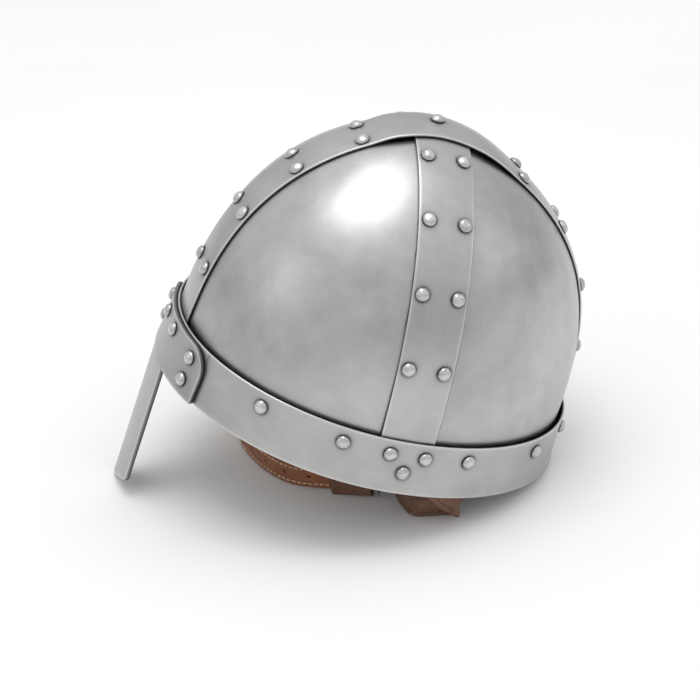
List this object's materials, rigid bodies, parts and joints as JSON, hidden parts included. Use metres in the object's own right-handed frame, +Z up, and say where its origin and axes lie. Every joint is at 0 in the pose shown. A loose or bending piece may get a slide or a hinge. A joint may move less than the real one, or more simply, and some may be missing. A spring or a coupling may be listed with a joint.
{
  "type": "spangenhelm helmet",
  "caption": "Segmented steel helmet: a bowl of riveted plates under crest, cross and brow bands, with a nasal bar and a buckled leather chin strap.",
  "frame": {"origin": "on the floor that the helmet lies on, under the middle of the whole object", "axes": "+Z up from the floor; the face looks towards -X and the wearer's left side lies towards -Y; the helmet leans back on its rim and its nasal's tip"},
  "size_m": [0.2816, 0.2196, 0.2149],
  "materials": {
    "plate_steel": "satin, softly mottled",
    "band_steel": "satin, brushed along the band",
    "rivet_steel": "hammered and worn bright",
    "buckle_steel": "plain wire",
    "tan_leather": "smooth grain",
    "brown_leather": "smooth grain, darker",
    "thread": "waxed thread"
  },
  "bodies": {
    "root": {"plate_front_left": "plate_steel", "plate_front_right": "plate_steel", "plate_rear_left": "plate_steel", "plate_rear_right": "plate_steel", "cross_band": "band_steel", "crest_band": "band_steel", "brow_band": "band_steel", "nasal_plate": "band_steel", "rivet_crest_front_left_1": "rivet_steel", "rivet_crest_front_right_1": "rivet_steel", "rivet_crest_front_left_2": "rivet_steel", "rivet_crest_front_right_2": "rivet_steel", "rivet_crest_front_left_3": "rivet_steel", "rivet_crest_front_right_3": "rivet_steel", "rivet_crest_front_left_4": "rivet_steel", "rivet_crest_front_right_4": "rivet_steel", "rivet_crest_rear_left_1": "rivet_steel", "rivet_crest_rear_right_1": "rivet_steel", "rivet_crest_rear_left_2": "rivet_steel", "rivet_crest_rear_right_2": "rivet_steel", "rivet_crest_rear_left_3": "rivet_steel", "rivet_crest_rear_right_3": "rivet_steel", "rivet_crest_rear_left_4": "rivet_steel", "rivet_crest_rear_right_4": "rivet_steel", "rivet_crown": "rivet_steel", "rivet_cross_left_front_1": "rivet_steel", "rivet_cross_left_rear_1": "rivet_steel", "rivet_cross_left_front_2": "rivet_steel", "rivet_cross_left_rear_2": "rivet_steel", "rivet_cross_left_front_3": "rivet_steel", "rivet_cross_left_rear_3": "rivet_steel", "rivet_cross_left_front_4": "rivet_steel", "rivet_cross_left_rear_4": "rivet_steel", "rivet_cross_right_front_1": "rivet_steel", "rivet_cross_right_rear_1": "rivet_steel", "rivet_cross_right_front_2": "rivet_steel", "rivet_cross_right_rear_2": "rivet_steel", "rivet_cross_right_front_3": "rivet_steel", "rivet_cross_right_rear_3": "rivet_steel", "rivet_cross_right_front_4": "rivet_steel", "rivet_cross_right_rear_4": "rivet_steel", "rivet_nasal_left_upper": "rivet_steel", "rivet_nasal_left_lower": "rivet_steel", "rivet_nasal_left_middle": "rivet_steel", "rivet_nasal_right_upper": "rivet_steel", "rivet_nasal_right_lower": "rivet_steel", "rivet_nasal_right_middle": "rivet_steel", "billet_strap": "tan_leather", "buckle_strap": "brown_leather", "strap_keeper": "brown_leather", "strap_buckle": "buckle_steel"}
  },
  "joints": []
}
